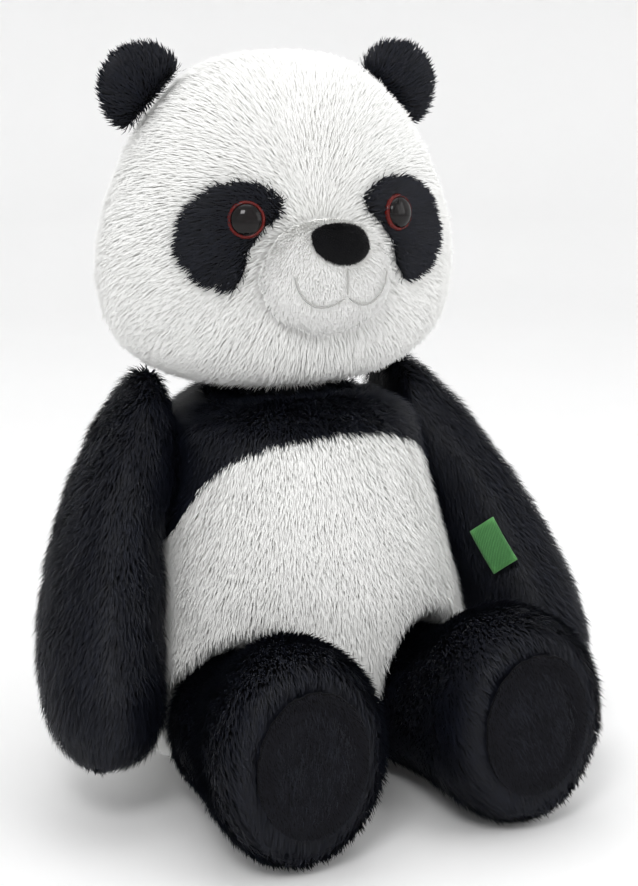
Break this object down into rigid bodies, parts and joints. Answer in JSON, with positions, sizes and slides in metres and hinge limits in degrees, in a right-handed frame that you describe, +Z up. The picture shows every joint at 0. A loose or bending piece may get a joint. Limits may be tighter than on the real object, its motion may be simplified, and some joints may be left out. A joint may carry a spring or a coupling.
{
  "type": "plush panda",
  "caption": "Seated plush panda with a turning and nodding head, swinging arms, lifting legs, bending ears and safety eyes.",
  "frame": {"origin": "centre of the bounding box's bottom, on the floor the toy sits on", "axes": "+Z up, the panda faces -Y and its own left side is +X"},
  "size_m": [0.389, 0.3575, 0.4917],
  "materials": {
    "white_fur": "long pile",
    "black_fur": "long pile",
    "muzzle_plush": "short pile",
    "sole_plush": "short pile",
    "nose_flock": "flocked",
    "thread": "thread",
    "eye_plastic": "gloss",
    "iris_plastic": "gloss",
    "washer_plastic": "matte",
    "stuffing": "fibre",
    "woven_tab": "woven"
  },
  "bodies": {
    "torso": {"torso_stuffing": "stuffing", "yoke_front_fur": "black_fur", "yoke_back_fur": "black_fur", "belly_fur_left": "white_fur", "belly_fur_right": "white_fur", "back_fur_left": "white_fur", "back_fur_right": "white_fur", "seat_panel": "white_fur", "tail_fur": "white_fur"},
    "neck": {"neck_stuffing": "stuffing"},
    "head": {"head_stuffing": "stuffing", "face_fur_left": "white_fur", "face_fur_right": "white_fur", "head_back_fur_left": "white_fur", "head_back_fur_right": "white_fur", "muzzle_fur": "muzzle_plush", "muzzle_stuffing": "stuffing", "nose": "nose_flock", "mouth_thread_upright": "thread", "mouth_thread_left": "thread", "mouth_thread_right": "thread", "eye_patch_left": "black_fur", "eye_patch_right": "black_fur", "eye_button_left": "eye_plastic", "eye_button_right": "eye_plastic", "eye_ring_left": "iris_plastic", "eye_ring_right": "iris_plastic", "eye_washer_left": "washer_plastic", "eye_washer_right": "washer_plastic"},
    "ear_left": {"ear_front_fur_left": "black_fur", "ear_back_fur_left": "black_fur"},
    "ear_right": {"ear_front_fur_right": "black_fur", "ear_back_fur_right": "black_fur"},
    "arm_left": {"arm_outer_fur_left": "black_fur", "arm_inner_fur_left": "black_fur", "arm_stuffing_left": "stuffing", "woven_tab": "woven_tab"},
    "arm_right": {"arm_outer_fur_right": "black_fur", "arm_inner_fur_right": "black_fur", "arm_stuffing_right": "stuffing"},
    "leg_left": {"leg_upper_fur_left": "black_fur", "leg_lower_fur_left": "black_fur", "leg_stuffing_left": "stuffing", "foot_sole_left": "sole_plush"},
    "leg_right": {"leg_upper_fur_right": "black_fur", "leg_lower_fur_right": "black_fur", "leg_stuffing_right": "stuffing", "foot_sole_right": "sole_plush"}
  },
  "joints": [
    {"name": "head_turn", "type": "hinge", "parent": "torso", "child": "neck", "pos_m": [0, 0.062, 0.2645], "axis": [0, 0, 1], "range_deg": [-20, 20], "stiffness_Nm_per_rad": 1.5},
    {"name": "head_nod", "type": "hinge", "parent": "neck", "child": "head", "pos_m": [0, 0.062, 0.2645], "axis": [1, 0, 0], "range_deg": [-10, 3], "stiffness_Nm_per_rad": 4},
    {"name": "ear_bend_left", "type": "hinge", "parent": "head", "child": "ear_left", "pos_m": [0.08319, 0.056, 0.45238], "axis": [0.7122, 0, -0.702], "range_deg": [-10, 10], "stiffness_Nm_per_rad": 0.1},
    {"name": "ear_bend_right", "type": "hinge", "parent": "head", "child": "ear_right", "pos_m": [-0.08319, 0.056, 0.45238], "axis": [0.7122, 0, 0.702], "range_deg": [-10, 10], "stiffness_Nm_per_rad": 0.1},
    {"name": "arm_swing_left", "type": "hinge", "parent": "torso", "child": "arm_left", "pos_m": [0.0858, 0.062, 0.227], "axis": [-1, 0, 0], "range_deg": [0, 65], "stiffness_Nm_per_rad": 1},
    {"name": "arm_swing_right", "type": "hinge", "parent": "torso", "child": "arm_right", "pos_m": [-0.0858, 0.062, 0.227], "axis": [-1, 0, 0], "range_deg": [0, 65], "stiffness_Nm_per_rad": 1},
    {"name": "leg_lift_left", "type": "hinge", "parent": "torso", "child": "leg_left", "pos_m": [0.067, -0.043, 0.052], "axis": [-1, 0, 0], "range_deg": [0, 10], "stiffness_Nm_per_rad": 1.5},
    {"name": "leg_lift_right", "type": "hinge", "parent": "torso", "child": "leg_right", "pos_m": [-0.067, -0.043, 0.052], "axis": [-1, 0, 0], "range_deg": [0, 10], "stiffness_Nm_per_rad": 1.5}
  ]
}
